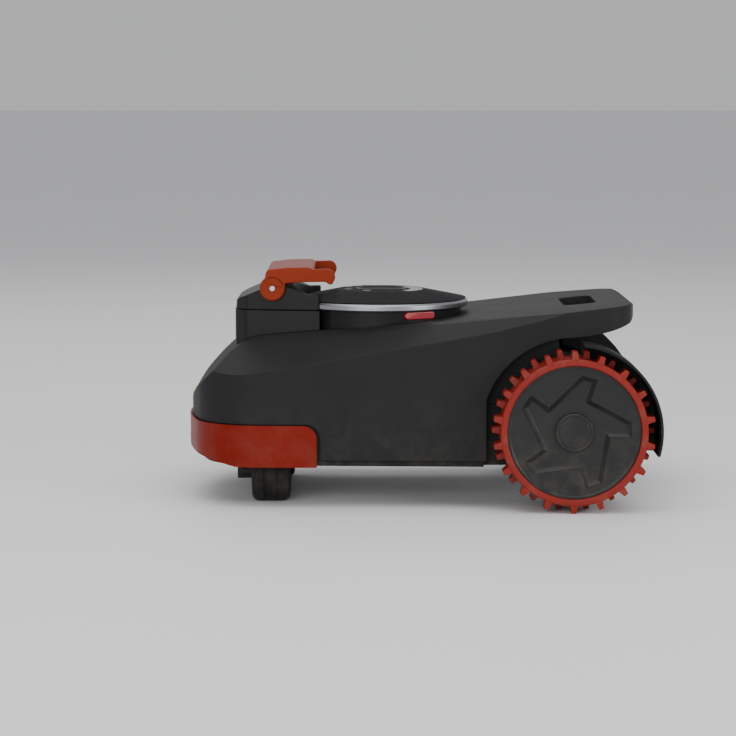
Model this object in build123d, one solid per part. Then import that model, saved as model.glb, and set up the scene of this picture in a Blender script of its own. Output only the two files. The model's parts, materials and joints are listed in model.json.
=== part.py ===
"""Robotic lawn mower: +X is the direction of travel, +Y the left side, +Z up, ground at Z = 0."""
from build123d import *
import math
import os

# ---- driving dimensions, millimetres -------------------------------------------------------
LENGTH = 545.0
WIDTH = 385.0
WALL = 2.6
TUB_WALL = 3.0

# Fits and gaps
RUN_GAP = 0.05
BODY_GAP = 0.6
SEAM_GAP = 0.4

# Drive wheels and mudguards
WHEEL_R = 92.0
LUG_HEIGHT = 8.4
LUG_COUNT = 18
LUG_ROOT_W = 9.0
LUG_TIP_W = 6.0
TYRE_W = 48.0
TYRE_THICK = 8.0
HUB_RECESS = 3.5
CAP_R = 22.0
AXLE_R = 5.0
BEARING_R = 11.0
GUARD_R = WHEEL_R + 8.5
GUARD_WALL = 3.2
GUARD_WEB = 34.0
GUARD_DROP = 27.0
MOTOR_R = 24.0

# Saw-blade pocket in the hub
HUB_TEETH = 5
TOOTH_OUT_R = 64.7
TOOTH_IN_R = 40.3
TOOTH_START = 25.6
TOOTH_RISE = 54.0
TOOTH_LAND = 15.0
POCKET_DEPTH = 4.0

# Heights
SKIRT_Z = 55.0
TUB_Z = 48.0
PAN_TOP_Z = 80.0
BOX_TOP_Z = WHEEL_R + 26.0
POCKET_Z = WHEEL_R + 60.0
DECK_Z = 2 * WHEEL_R + 13.5
DECK_SLOPE = 0.0935

# Turret
TURRET_X = 45.0
NECK_R = 95.0
RING_R = 103.5
RING_Z = DECK_Z + 22.7
RING_H = 10.0
CAP_TOP_R = 53.0
CAP_TOP_Z = DECK_Z + 42.5
KNOB_R = 31.0
KNOB_H = 4.0
KNOB_SINK = 3.4
BUTTON_R = 5.5
BUTTON_RING_R = 42.5
BUTTON_PROUD = 1.1
SCREW_R = 6.0
STOP_ANGLE = 117.7
STOP_W = 39.0
STOP_H = 8.6

# Camera pod and yoke
POD_X0 = 117.0
POD_X1 = 215.0
POD_HALF = 75.0
POD_SEAM_Z = DECK_Z + 22.1
POD_TOP_Z = DECK_Z + 41.0
PIVOT_X = 172.0
PIVOT_Z = DECK_Z + 48.5
WINDOW_Z = DECK_Z + 12.5
BOSS_R = 14.6
ARM_Y = 69.5
ARM_T = 5.0
PIN_R = 3.0

# Bumper
BUMPER_X = 119.0
BUMPER_TOP_Z = 95.0
BUMPER_Z = 47.0
BUMPER_CORNER_R = 16.0
BUMPER_PROUD = 3.0
BUMPER_TRAVEL = 3.0
BUMPER_IN = 2.6
BUMPER_POST_R = 4.0
BUMPER_POST_Z = 72.0
POST_Y = (-45.0, 45.0)

# Casters
CASTER_R = 36.0
CASTER_W = 44.0
CASTER_TRAIL = 22.0
CASTER_SET_BACK = 99.5
CASTER_Y = 70.0
CASTER_AXLE_R = 5.0
STEM_R = 7.0
BUSH_T = 3.0
BRACKET_T = 5.0
WELL_R = 63.8
WELL_ROOF_Z = 84.0

# Cutting unit
CUTTER_X = 10.0
CHAMBER_R = 100.0
CHAMBER_ROOF_Z = 75.0
BARREL_R = 31.5
DISC_R = CHAMBER_R - 30.0
DISC_Z = 58.0
DISC_T = 3.0
BLADE_PIVOT_R = DISC_R - 8.0
SKID_R = DISC_R - 24.0
BLADE_LEN = 28.0
BLADE_T = 0.8
LIFT_TRAVEL = 40.0
POST_R = 4.0

# Charging contacts
CONTACT_R = 7.0
CONTACT_Y = (-18.0, 18.0)
CONTACT_Z = 114.0

# Battery and case screws
BATTERY = (110.0, 100.0, 50.0)
SCREW_SHANK_R = 1.5
SCREW_HEAD_R = 3.4
SCREW_HEAD_H = 1.7

# ---- derived places ------------------------------------------------------------------------
FRONT_X = LENGTH / 2
NOSE_X = FRONT_X - BUMPER_PROUD
REAR_X = -LENGTH / 2
WHEEL_X = REAR_X + GUARD_R
WHEEL_Z = WHEEL_R
BATTERY_X = WHEEL_X + 2.0
ARCH_R = GUARD_R + 2.5
TYRE_OUT = WIDTH / 2
TYRE_IN = TYRE_OUT - TYRE_W
RIM_R = WHEEL_R - LUG_HEIGHT - TYRE_THICK
BOX_HALF = TYRE_IN - 6.5
SIDE_HALF = WIDTH / 2 - 33.5
NOSE_HALF = SIDE_HALF - 12.0
WING_HALF = SIDE_HALF - 31.0
PANEL_END_X = WHEEL_X + 0.9456 * ARCH_R
WING_X = WHEEL_X - 66.0
TAIL_BULGE = 15.0
TAIL_X = WING_X - TAIL_BULGE + 0.5
BOX_REAR_X = WHEEL_X - 64.0
BOX_FRONT_X = PANEL_END_X + 4.6
HANDLE_X0 = WHEEL_X - 36.0
HANDLE_X1 = WHEEL_X + 2.0
HANDLE_HALF = 52.0
CASTER_X = FRONT_X - CASTER_SET_BACK
CASTER_WHEEL_Y = CASTER_Y + CASTER_TRAIL
BUMPER_SHIFT = BUMPER_TRAVEL + 1.0
NECK_Z = DECK_Z - 25.5
FLANGE_Z = CHAMBER_ROOF_Z + TUB_WALL + LIFT_TRAVEL + 2
BOARD_Z = TUB_Z + TUB_WALL + BATTERY[2] + 8
POST_PLACES = [(CUTTER_X - 22, 42.0), (CUTTER_X - 22, -42.0)]
SCREW_POSTS = [(PANEL_END_X + 20, 124.0), (PANEL_END_X + 20, -124.0), (FRONT_X - 34, 0.0)]
SCREW_POSTS += [(CASTER_X - 76, 120.0), (CASTER_X - 76, -120.0)]
FAR = 700.0


def deck_z(x):
    """Height of the sloping deck at x."""
    return DECK_Z + DECK_SLOPE * (POD_X0 - x)


def mirrored(points):
    """The same points on the other side, in reverse order."""
    return [(x, -y) for x, y in reversed(points)]


def at(x, y, z):
    """Short name for a location."""
    return Location((x, y, z))


def tube(radius, z0, z1, x=0.0, y=0.0):
    """Vertical cylinder from z0 to z1."""
    return at(x, y, (z0 + z1) / 2) * Cylinder(radius, z1 - z0)


def tube_y(radius, y0, y1, x, z):
    """Cylinder along Y from y0 to y1."""
    return at(x, (y0 + y1) / 2, z) * Rot(90, 0, 0) * Cylinder(radius, abs(y1 - y0))


def tube_x(radius, x0, x1, y, z):
    """Cylinder along X from x0 to x1."""
    return at((x0 + x1) / 2, y, z) * Rot(0, 90, 0) * Cylinder(radius, abs(x1 - x0))


def block(x0, x1, y0, y1, z0, z1):
    """Box between two corners."""
    return at((x0 + x1) / 2, (y0 + y1) / 2, (z0 + z1) / 2) * Box(x1 - x0, y1 - y0, z1 - z0)


def across(face, half=FAR / 2):
    """A face in the XZ plane, extruded both ways along Y."""
    return extrude(face, amount=half, both=True)


def xz(points):
    """Polygon in the XZ plane."""
    return make_face(Plane.XZ * Polyline(*points, close=True))


# ---- shell outline -------------------------------------------------------------------------
def plan_face(grow=0.0):
    """Plan outline of the upper shell."""
    nose_x = NOSE_X - 31.5
    waist_x = WHEEL_X + 22.0
    left = [(nose_x, NOSE_HALF), (PANEL_END_X, SIDE_HALF), (waist_x, SIDE_HALF - 7.0), (WING_X, WING_HALF)]
    front = ThreePointArc((nose_x, -NOSE_HALF), (NOSE_X, 0), (nose_x, NOSE_HALF))
    rear = ThreePointArc((WING_X, WING_HALF), (WING_X - TAIL_BULGE, 0), (WING_X, -WING_HALF))
    face = make_face(front + Polyline(*left) + rear + Polyline(*mirrored(left)))
    for corner_x, radius in ((nose_x, 75), (WING_X, 38), (waist_x, 200), (PANEL_END_X, 300)):
        corners = [v for v in face.vertices() if abs(v.X - corner_x) < 1]
        face = fillet(corners, radius)
    return offset(face, amount=grow) if grow else face


def plan_prism(grow, z0, z1, dx=0.0):
    """The plan outline as a prism between two heights, moved by dx."""
    return at(dx, 0, z0) * extrude(plan_face(grow), amount=z1 - z0)


def side_face(grow=0.0):
    """Side outline of the upper shell: hood, deck, wing and wheel arch."""
    hood_end = (POD_X0 + 61, deck_z(POD_X0 + 61) - 0.4)
    low = (NOSE_X + 2.5, SKIRT_Z)
    brow = (NOSE_X - 43.5, DECK_Z - 29.0)
    chin = (NOSE_X - 15.5, DECK_Z - 58.5)
    lip = (NOSE_X + 2.5, 93.0)
    hood = TangentArc(hood_end, brow, tangent=(1, -DECK_SLOPE))
    front = TangentArc(brow, chin, tangent=hood % 1)
    nose = TangentArc(chin, lip, tangent=front % 1)
    back = (WING_X + 2, deck_z(WING_X + 2))
    tail = (TAIL_X, DECK_Z + 24.5)
    tail_low = (TAIL_X + 1, DECK_Z + 16.0)
    arch_end_z = WHEEL_Z + math.sqrt(ARCH_R**2 - (PANEL_END_X - WHEEL_X)**2)
    arch_mid = (WHEEL_X + ARCH_R * math.cos(math.radians(55)), WHEEL_Z + ARCH_R * math.sin(math.radians(55)))
    arch_top = (WHEEL_X, WHEEL_Z + ARCH_R)
    outline = hood + front + nose + Line(hood_end, back)
    outline += ThreePointArc(back, (TAIL_X + 6, deck_z(TAIL_X + 6) - 2.4), tail)
    outline += Line(tail, tail_low)
    outline += ThreePointArc(tail_low, (WHEEL_X - 44, WHEEL_Z + ARCH_R + 6), arch_top)
    outline += ThreePointArc(arch_top, arch_mid, (PANEL_END_X, arch_end_z))
    outline += Polyline((PANEL_END_X, arch_end_z), (PANEL_END_X, SKIRT_Z), low, lip)
    face = make_face(Plane.XZ * outline)
    return offset(face, amount=grow) if grow else face


def bevelled(solid, drop=0.0):
    """Cut the two long bevels between the deck and the side panels."""
    for side in (1, -1):
        normal = Vector(0.193, side * 0.445, 1).normalized()
        foot = Vector(TURRET_X - 23.4, side * (SIDE_HALF - 3), DECK_Z - 14.0) - normal * drop
        solid = solid - Plane(origin=foot, z_dir=normal) * at(0, 0, FAR / 2) * Box(2 * FAR, 2 * FAR, FAR)
    return solid


def shell_solid(inset=0.0):
    """The shell's outer solid, or the same shrunk evenly by inset."""
    solid = plan_prism(-inset, 0, 300) & across(side_face(-inset))
    return bevelled(solid, inset)


def bumper_profile(x0, top, radius, bottom):
    """Side outline of the bumper or of its recess, with a round upper rear corner."""
    nose = FRONT_X + 10
    points = [(x0, bottom), (x0, top), (nose, top), (nose, bottom + 15), (FRONT_X - 60, bottom)]
    face = xz(points)
    corner = [v for v in face.vertices() if abs(v.X - x0) < 0.01 and abs(v.Z - top) < 0.01]
    return fillet(corner, radius)


def outside_recess(inset, grow):
    """What the bumper recess takes away, leaving the plan outline inset and set back."""
    x0 = BUMPER_X - BUMPER_TRAVEL - BODY_GAP - grow
    band = across(bumper_profile(x0, BUMPER_TOP_Z + BODY_GAP + grow, BUMPER_CORNER_R, 10.0))
    return band - plan_prism(-inset, 0, 200, -BUMPER_SHIFT)


SHELL = shell_solid()


# ---- body panels ---------------------------------------------------------------------------
def handle_prism(grow, z0, z1):
    """The carry handle's hole, with round corners."""
    outline = RectangleRounded(HANDLE_X1 - HANDLE_X0 + 2 * grow, 2 * HANDLE_HALF + 2 * grow, 12 + grow)
    return at((HANDLE_X0 + HANDLE_X1) / 2, 0, z0) * extrude(outline, amount=z1 - z0)


def upper_shell():
    """Hood, deck, side panels and wing in one thin shell."""
    inner = shell_solid(WALL)
    skirt = plan_prism(-WALL, SKIRT_Z - 20, SKIRT_Z + 20)
    inner = inner + (skirt & block(PANEL_END_X + WALL, FAR, -FAR, FAR, 0, 200))
    outer = SHELL - outside_recess(BUMPER_IN, 0)
    inner = inner - outside_recess(BUMPER_IN + WALL, WALL)
    shell = outer - inner
    shell = shell + (handle_prism(WALL, 150, 300) & SHELL)
    for x, y in SCREW_POSTS:
        post = tube(5.0, TUB_Z + TUB_WALL, 300, x, y) & SHELL
        shell = shell + (post - tube(SCREW_SHANK_R + 0.1, 0, TUB_Z + TUB_WALL + 20, x, y))
    shell = shell - handle_prism(0, 150, 300)
    shell = shell - tube(NECK_R + SEAM_GAP, 100, 300, TURRET_X)
    room = BOX_HALF + SEAM_GAP
    shell = shell - block(BOX_REAR_X - 1, BOX_FRONT_X + 2, -room, room, 0, BOX_TOP_Z)
    for y in CONTACT_Y:
        shell = shell - tube_x(CONTACT_R + 0.1, NOSE_X - 40, FRONT_X, y, CONTACT_Z)
    for y in POST_Y:
        shell = shell - tube_x(BUMPER_POST_R + 0.3, NOSE_X - 40, FRONT_X, y, BUMPER_POST_Z)
    return shell


def charging_contacts():
    """Two round charging contacts through the nose, above the bumper."""
    nose = NOSE_X - 1.2
    return [tube_x(CONTACT_R, nose - 14, nose, y, CONTACT_Z) for y in CONTACT_Y]


def tub_outline(inset, z0, z1):
    """Plan prism of the lower tub, inset from its own outside."""
    pan = plan_prism(-(BUMPER_IN + WALL + SEAM_GAP + inset), z0, z1, -BUMPER_SHIFT)
    return pan & block(PANEL_END_X + WALL + SEAM_GAP + inset, FAR, -FAR, FAR, 0, 300)


def box_outline(inset, z0, z1):
    """Rear box of the tub between the drive wheels."""
    half = BOX_HALF - inset
    return block(BOX_REAR_X + inset, BOX_FRONT_X - inset, -half, half, z0, z1)


def chassis_tub():
    """Lower tub: front pan, rear box, cutting chamber, caster wells and axle seats."""
    floor = TUB_Z + TUB_WALL
    tub = tub_outline(0, TUB_Z, PAN_TOP_Z) + box_outline(0, TUB_Z, BOX_TOP_Z)
    tub = tub - tub_outline(TUB_WALL, floor, 300) - box_outline(TUB_WALL, floor, 300)
    tub = tub - block(BOX_FRONT_X - 10, BOX_FRONT_X + 10, -BOX_HALF + 3, BOX_HALF - 3, floor, 300)
    tub = tub + tube(CHAMBER_R + TUB_WALL, TUB_Z, CHAMBER_ROOF_Z + TUB_WALL, CUTTER_X)
    for side in (1, -1):
        y = side * CASTER_Y
        well = tube(WELL_R + TUB_WALL, TUB_Z, WELL_ROOF_Z + TUB_WALL, CASTER_X, y)
        collar = tube(STEM_R + 7, WELL_ROOF_Z, WELL_ROOF_Z + 30, CASTER_X, y)
        tub = tub + (well & tub_outline(0, TUB_Z, 300)) + collar
    for x, y in board_posts():
        tub = tub + tube(4.0, TUB_Z, BOARD_Z, x, y)
    for x, y in SCREW_POSTS:
        tub = tub - tube(SCREW_SHANK_R + 0.3, 0, floor, x, y)
        tub = tub - tube(SCREW_HEAD_R + 0.3, 0, TUB_Z + SCREW_HEAD_H, x, y)
    for y in POST_Y:
        tub = tub - tube_x(BUMPER_POST_R + 0.3, NOSE_X - 20, FRONT_X, y, BUMPER_POST_Z)
    tub = tub - tube(CHAMBER_R, 0, CHAMBER_ROOF_Z, CUTTER_X)
    tub = tub - tube(BARREL_R + 1.0, 0, 300, CUTTER_X)
    for side in (1, -1):
        tub = tub - tube(WELL_R, 0, WELL_ROOF_Z, CASTER_X, side * CASTER_Y)
        tub = tub - tube(STEM_R + BUSH_T, 0, WELL_ROOF_Z + 24, CASTER_X, side * CASTER_Y)
        tub = tub - tube_y(BEARING_R, side * (BOX_HALF - 8), side * (BOX_HALF + 8), WHEEL_X, WHEEL_Z)
    length, width, _ = BATTERY
    half_l = length / 2 + 3
    half_w = width / 2 + 3
    return tub - block(BATTERY_X - half_l, BATTERY_X + half_l, -half_w, half_w, 0, floor)


def board_posts():
    """Places of the four posts that carry the main board."""
    length, width, _ = BATTERY
    dx = length / 2 + 5
    dy = width / 2 + 7
    return [(BATTERY_X + a * dx, b * dy) for a in (-1, 1) for b in (-1, 1)]


def rear_housing():
    """Upper half of the rear box, stepped down to leave room for a hand under the wing."""
    def body(inset):
        half = BOX_HALF - inset
        rear = [(BOX_REAR_X + inset, BOX_TOP_Z), (BOX_REAR_X + inset, BOX_TOP_Z + 18)]
        rear += [(BOX_REAR_X + 12, POCKET_Z - inset), (HANDLE_X1 + 8 + inset, POCKET_Z - inset)]
        roof = WHEEL_Z + ARCH_R + 5
        front = BOX_FRONT_X - 3 - inset
        rear += [(HANDLE_X1 + 14 + inset, roof), (front, roof), (front, BOX_TOP_Z)]
        return across(xz(rear), half) - across(side_face(SEAM_GAP + inset))
    return body(0) - body(TUB_WALL)


def mudguard(side):
    """Thin arched guard over and behind one drive wheel, with its inner web."""
    y_in = side * (BOX_HALF + 0.2)
    y_out = side * (TYRE_OUT - 1.0)
    y_web = side * (BOX_HALF + 3.2)
    arch = tube_y(GUARD_R, y_in, y_out, WHEEL_X, WHEEL_Z)
    arch = arch - tube_y(GUARD_R - GUARD_WALL, y_in, y_out, WHEEL_X, WHEEL_Z)
    web = tube_y(GUARD_R, y_in, y_web, WHEEL_X, WHEEL_Z)
    web = web - tube_y(GUARD_R - GUARD_WEB, y_in, y_web, WHEEL_X, WHEEL_Z)
    back = WHEEL_X - GUARD_R - 10
    high = WHEEL_Z + GUARD_R + 10
    keep = [(WHEEL_X - 10, WHEEL_Z), (WHEEL_X - 10, high), (back, high)]
    keep += [(back, WHEEL_Z - GUARD_DROP), (WHEEL_X - 60, WHEEL_Z - GUARD_DROP)]
    return (arch + web) & across(xz(keep))


# ---- turret --------------------------------------------------------------------------------
def turret_neck():
    """Round neck through the deck, with the top plate that carries the lead screw."""
    neck = tube(NECK_R, NECK_Z, RING_Z, TURRET_X) - tube(NECK_R - WALL, NECK_Z, RING_Z - WALL, TURRET_X)
    flange = tube(NECK_R + 4, NECK_Z, NECK_Z + WALL, TURRET_X) - tube(NECK_R - 8, 0, 300, TURRET_X)
    neck = neck + (flange & shell_solid(WALL + 0.3)) - tube(SCREW_R + RUN_GAP, 0, 300, TURRET_X)
    for side in (1, -1):
        neck = neck - stop_pad_shape(side, BODY_GAP / 2, NECK_R - 12, NECK_R + 5)
    return neck


def stop_pad_shape(side, grow, r0, r1):
    """Pill-shaped prism pointing out of the neck, from radius r0 to r1."""
    pill = SlotOverall(STOP_W + 2 * grow, STOP_H + 2 * grow)
    angle = side * STOP_ANGLE
    mid = RING_Z - 0.5 - STOP_H / 2
    axis = Vector(math.cos(math.radians(angle)), math.sin(math.radians(angle)), 0)
    along = Vector(-axis.Y, axis.X, 0)
    plane = Plane(origin=Vector(TURRET_X, 0, mid) + axis * r0, x_dir=along, z_dir=axis)
    return plane * extrude(pill, amount=r1 - r0)


def stop_pad(side):
    """Red emergency stop pad in the neck's flank."""
    return stop_pad_shape(side, 0, NECK_R - WALL - 4, NECK_R + 2.4)


def turret_ring():
    """Metal trim ring around the turret."""
    ring = tube(RING_R, RING_Z, RING_Z + RING_H, TURRET_X) - tube(NECK_R - 8, 0, 300, TURRET_X)
    rims = [e for e in ring.edges() if e.geom_type == GeomType.CIRCLE and abs(e.radius - RING_R) < 0.01]
    return fillet(rims, 1.6)


def turret_cap():
    """Low conical cap with a flat top that carries the knob, display and buttons."""
    z0 = RING_Z + RING_H
    cone_h = CAP_TOP_Z - z0
    outer = at(TURRET_X, 0, z0 + cone_h / 2) * Cone(RING_R - 2, CAP_TOP_R, cone_h)
    inner = at(TURRET_X, 0, z0 + (cone_h - WALL) / 2) * Cone(RING_R - 8, CAP_TOP_R, cone_h - WALL)
    seat = tube(KNOB_R + 3.5, CAP_TOP_Z - KNOB_SINK - WALL, CAP_TOP_Z - WALL / 2, TURRET_X)
    cap = outer - inner + seat - tube(KNOB_R + 0.6, CAP_TOP_Z - KNOB_SINK, 300, TURRET_X)
    cap = cap - tube(SCREW_R + 0.6, 0, 300, TURRET_X)
    cap = cap - display_shape(0.15, 1.2)
    for place in button_places():
        cap = cap - tube(BUTTON_R + 0.3, 0, 300, *place)
    return cap


def display_shape(grow, depth):
    """Curved display window on the rear half of the cap's top."""
    ring = tube(50.0 + grow, CAP_TOP_Z - depth, CAP_TOP_Z, TURRET_X) - tube(35.0 - grow, 0, 300, TURRET_X)
    half = 80.0
    wedge = [(0, 0), (-half, -half * 1.1 - grow * 2), (-half, half * 1.1 + grow * 2)]
    return ring & (at(TURRET_X, 0, 0) * extrude(make_face(Polyline(*wedge, close=True)), amount=300))


def button_places():
    """Centres of the four control buttons, on the front half of the cap's top."""
    angles = [math.radians(a) for a in (-66, -22, 22, 66)]
    return [(TURRET_X + BUTTON_RING_R * math.cos(a), BUTTON_RING_R * math.sin(a)) for a in angles]


def control_button(index):
    """One round control button."""
    x, y = button_places()[index]
    return tube(BUTTON_R, CAP_TOP_Z - WALL - 1, CAP_TOP_Z + BUTTON_PROUD, x, y)


def height_knob():
    """Flat knob in the middle of the cap with a finger bar."""
    z0 = CAP_TOP_Z - KNOB_SINK + 0.3
    knob = tube(KNOB_R, z0, z0 + KNOB_H, TURRET_X)
    knob = knob - tube(KNOB_R - 4, z0 + 1.6, z0 + KNOB_H, TURRET_X)
    bar = block(TURRET_X - KNOB_R + 3, TURRET_X + KNOB_R - 3, -5, 5, z0, z0 + KNOB_H)
    return knob + bar


def lead_screw():
    """Lead screw from the knob down to the carriage nut."""
    return tube(SCREW_R, CHAMBER_ROOF_Z + TUB_WALL + 4, CAP_TOP_Z - KNOB_SINK + 0.3, TURRET_X)


def antenna_board():
    """Round satellite antenna board inside the cap."""
    return tube(30.0, RING_Z, RING_Z + 1.6, TURRET_X) - tube(SCREW_R + 2, 0, 300, TURRET_X)


# ---- camera pod and yoke -------------------------------------------------------------------
def pod_plan(grow, z0, z1):
    """Plan prism of the camera pod."""
    half = POD_HALF
    left = [(POD_X0, half), (POD_X0 + 43, half - 7), (POD_X1 - 12, half - 15), (POD_X1, half - 29)]
    face = make_face(Polyline(*left, *mirrored(left), close=True))
    front = [v for v in face.vertices() if v.X > POD_X1 - 20]
    face = fillet(front, 9)
    if grow:
        face = offset(face, amount=grow)
    return at(0, 0, z0) * extrude(face, amount=z1 - z0) & block(POD_X0, FAR, -FAR, FAR, 0, 300)


def pod_base():
    """Lower half of the pod, seated on the hood and around the neck."""
    base = pod_plan(1.5, 150, POD_SEAM_Z) - SHELL - tube(NECK_R + SEAM_GAP, 0, 300, TURRET_X)
    inner = pod_plan(1.5 - WALL, 150, POD_SEAM_Z + 1) - shell_solid(-WALL)
    inner = inner & block(POD_X0 + WALL, FAR, -FAR, FAR, 0, 300)
    return base - (inner - tube(NECK_R + SEAM_GAP + WALL, 0, 300, TURRET_X)) - window_shape(0.2, 20)


def pod_profile(drop):
    """Side outline of the pod cover with its hump at the yoke pivot."""
    x1 = POD_X1 + 5
    points = [(0, POD_SEAM_Z - 5), (x1, POD_SEAM_Z - 5), (x1, POD_TOP_Z - 10), (POD_X1 - 1, POD_TOP_Z - 7)]
    points += [(POD_X1 - 6, POD_TOP_Z - 4), (PIVOT_X + 12, PIVOT_Z - 1), (PIVOT_X, PIVOT_Z + 6)]
    points += [(PIVOT_X - 22, PIVOT_Z), (PIVOT_X - 41, POD_TOP_Z), (0, POD_TOP_Z)]
    return across(xz([(x, z - drop) for x, z in points]))


def pod_cover():
    """Upper half of the pod."""
    cover = pod_plan(0, POD_SEAM_Z + SEAM_GAP, 300) & pod_profile(0)
    inner = pod_plan(-WALL, POD_SEAM_Z - 5, 300) & pod_profile(WALL)
    inner = inner & block(POD_X0 + WALL, FAR, -FAR, FAR, 0, 300)
    cover = cover - tube(RING_R + 0.7, 0, 300, TURRET_X)
    cover = cover - (inner - tube(RING_R + 0.7 + WALL, 0, 300, TURRET_X))
    for side in (1, -1):
        boss = tube_y(PIN_R + 4, side * 48, side * POD_HALF, PIVOT_X, PIVOT_Z)
        cover = cover + (boss & pod_profile(0) & pod_plan(0, 200, 300))
        cover = cover - tube_y(PIN_R, side * 56, side * (POD_HALF + 1), PIVOT_X, PIVOT_Z)
    return cover - window_shape(0.2, 20)


def window_shape(grow, depth):
    """Rounded camera window across the pod's front face."""
    face = RectangleRounded(70 + 2 * grow, 30 + 2 * grow, 10 + grow)
    plane = Plane(origin=(POD_X1 - depth, 0, WINDOW_Z), x_dir=(0, 1, 0), z_dir=(1, 0, 0))
    return plane * extrude(face, amount=depth + 1.2)


def camera_window():
    """Dark window in front of the camera."""
    return window_shape(0, 2.5)


def camera_module():
    """Camera body and lens barrel behind the window."""
    body = block(POD_X1 - 26, POD_X1 - 12, -24, 24, WINDOW_Z - 10, WINDOW_Z + 10)
    return body + tube_x(8, POD_X1 - 12, POD_X1 - 3, 0, WINDOW_Z)


def yoke():
    """Forked yoke: two hooked arms joined by a flat plate over the pod."""
    arm = [(PIVOT_X + 8, PIVOT_Z), (PIVOT_X + 8, PIVOT_Z + 17), (PIVOT_X - 4, PIVOT_Z + 21.5)]
    arm += [(PIVOT_X - 62, PIVOT_Z + 22.5), (PIVOT_X - 73, PIVOT_Z + 16), (PIVOT_X - 74, PIVOT_Z + 7)]
    arm += [(PIVOT_X - 70, PIVOT_Z + 4), (PIVOT_X - 64, PIVOT_Z + 6), (PIVOT_X - 14, PIVOT_Z + 6)]
    arm += [(PIVOT_X - 12, PIVOT_Z)]
    bridge = xz([(PIVOT_X + 8, PIVOT_Z + 15), (PIVOT_X + 6, PIVOT_Z + 20.5), (PIVOT_X - 18, PIVOT_Z + 24),
                 (PIVOT_X - 44, PIVOT_Z + 24.5), (PIVOT_X - 49, PIVOT_Z + 18), (PIVOT_X - 4, PIVOT_Z + 16.5)])
    solid = across(bridge, ARM_Y + ARM_T)
    for side in (1, -1):
        y0 = side * ARM_Y
        y1 = side * (ARM_Y + ARM_T)
        plate = at(0, (y0 + y1) / 2, 0) * across(xz(arm), ARM_T / 2)
        solid = solid + plate + tube_y(BOSS_R, y0, y1, PIVOT_X, PIVOT_Z)
    return solid - tube_y(PIN_R + RUN_GAP, -90, 90, PIVOT_X, PIVOT_Z)


def yoke_pins():
    """Two pivot pins fixed in the pod cover."""
    return [tube_y(PIN_R, s * 56, s * (ARM_Y + ARM_T + 1), PIVOT_X, PIVOT_Z) for s in (1, -1)]


# ---- bumper --------------------------------------------------------------------------------
def front_bumper():
    """Wrap-around sprung bumper with two guide posts."""
    inset = BUMPER_IN - BODY_GAP
    room = plan_prism(-inset, 0, 200, -BUMPER_SHIFT) + plan_prism(-inset, 0, 200)
    band = plan_prism(BUMPER_PROUD, BUMPER_Z, 200) - room
    bumper = band & across(bumper_profile(BUMPER_X, BUMPER_TOP_Z, BUMPER_CORNER_R, BUMPER_Z))
    for y in POST_Y:
        bumper = bumper + tube_x(BUMPER_POST_R, NOSE_X - 26, NOSE_X, y, BUMPER_POST_Z)
    return bumper


# ---- drive wheels --------------------------------------------------------------------------
def tyre(side):
    """Rubber tyre with two staggered rows of lugs."""
    y0 = side * TYRE_IN
    y1 = side * TYRE_OUT
    root_r = WHEEL_R - LUG_HEIGHT
    ring = tube_y(root_r, y0, y1, WHEEL_X, WHEEL_Z) - tube_y(RIM_R, y0, y1, WHEEL_X, WHEEL_Z)
    root = LUG_ROOT_W / 2
    tip = LUG_TIP_W / 2
    lug_face = xz([(-root, root_r - 1), (-tip, WHEEL_R), (tip, WHEEL_R), (root, root_r - 1)])
    lug_half = TYRE_W / 4
    for row, phase in ((1, 0.0), (-1, 0.5)):
        y = side * (TYRE_IN + TYRE_W / 2 + row * lug_half)
        solid = extrude(lug_face, amount=lug_half, both=True)
        for i in range(LUG_COUNT):
            turn = 360.0 / LUG_COUNT * (i + phase)
            ring = ring + at(WHEEL_X, y, WHEEL_Z) * Rot(0, turn, 0) * solid
    return ring


def polar(radius, degrees):
    """Point at a radius and an angle."""
    turn = math.radians(degrees)
    return (radius * math.cos(turn), radius * math.sin(turn))


def hub_star():
    """Outline of the hub's pocket: a five-toothed saw blade."""
    points = []
    for i in range(HUB_TEETH):
        start = TOOTH_START - 360.0 / HUB_TEETH * i
        points += [polar(TOOTH_OUT_R, start + TOOTH_LAND), polar(TOOTH_OUT_R, start)]
        points.append(polar(TOOTH_IN_R, start - TOOTH_RISE))
    return points


def wheel_hub(side):
    """Dished hub with a saw-blade pocket in its face and a boss on the axle."""
    face_y = TYRE_OUT - HUB_RECESS
    hub = tube_y(RIM_R, side * (TYRE_IN + 2), side * face_y, WHEEL_X, WHEEL_Z)
    hub = hub - tube_y(RIM_R - 5, side * (TYRE_IN + 1), side * (face_y - 12), WHEEL_X, WHEEL_Z)
    hub = hub + tube_y(AXLE_R + 9, side * (TYRE_IN + 1), side * (face_y - 11), WHEEL_X, WHEEL_Z)
    star = at(WHEEL_X, side * face_y, WHEEL_Z) * across(xz(hub_star()), POCKET_DEPTH)
    hub = hub - star
    return hub - tube_y(AXLE_R, side * (TYRE_IN - 1), side * (face_y - 5.5), WHEEL_X, WHEEL_Z)


def hub_cap(side):
    """Round cap over the hub's middle."""
    face_y = TYRE_OUT - HUB_RECESS
    return tube_y(CAP_R, side * (face_y - POCKET_DEPTH), side * (face_y + 1.5), WHEEL_X, WHEEL_Z)


def wheel_axle(side):
    """Steel axle from the gear motor through the bearing into the hub."""
    return tube_y(AXLE_R, side * (BOX_HALF - 16), side * (TYRE_OUT - HUB_RECESS - 6), WHEEL_X, WHEEL_Z)


def axle_bearings():
    """Two ball bearings in the tub's side walls."""
    rings = []
    for s in (1, -1):
        ring = tube_y(BEARING_R, s * (BOX_HALF - 5), s * (BOX_HALF + 3), WHEEL_X, WHEEL_Z)
        rings.append(ring - tube_y(AXLE_R + RUN_GAP, s * 100, s * 180, WHEEL_X, WHEEL_Z))
    return rings


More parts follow.
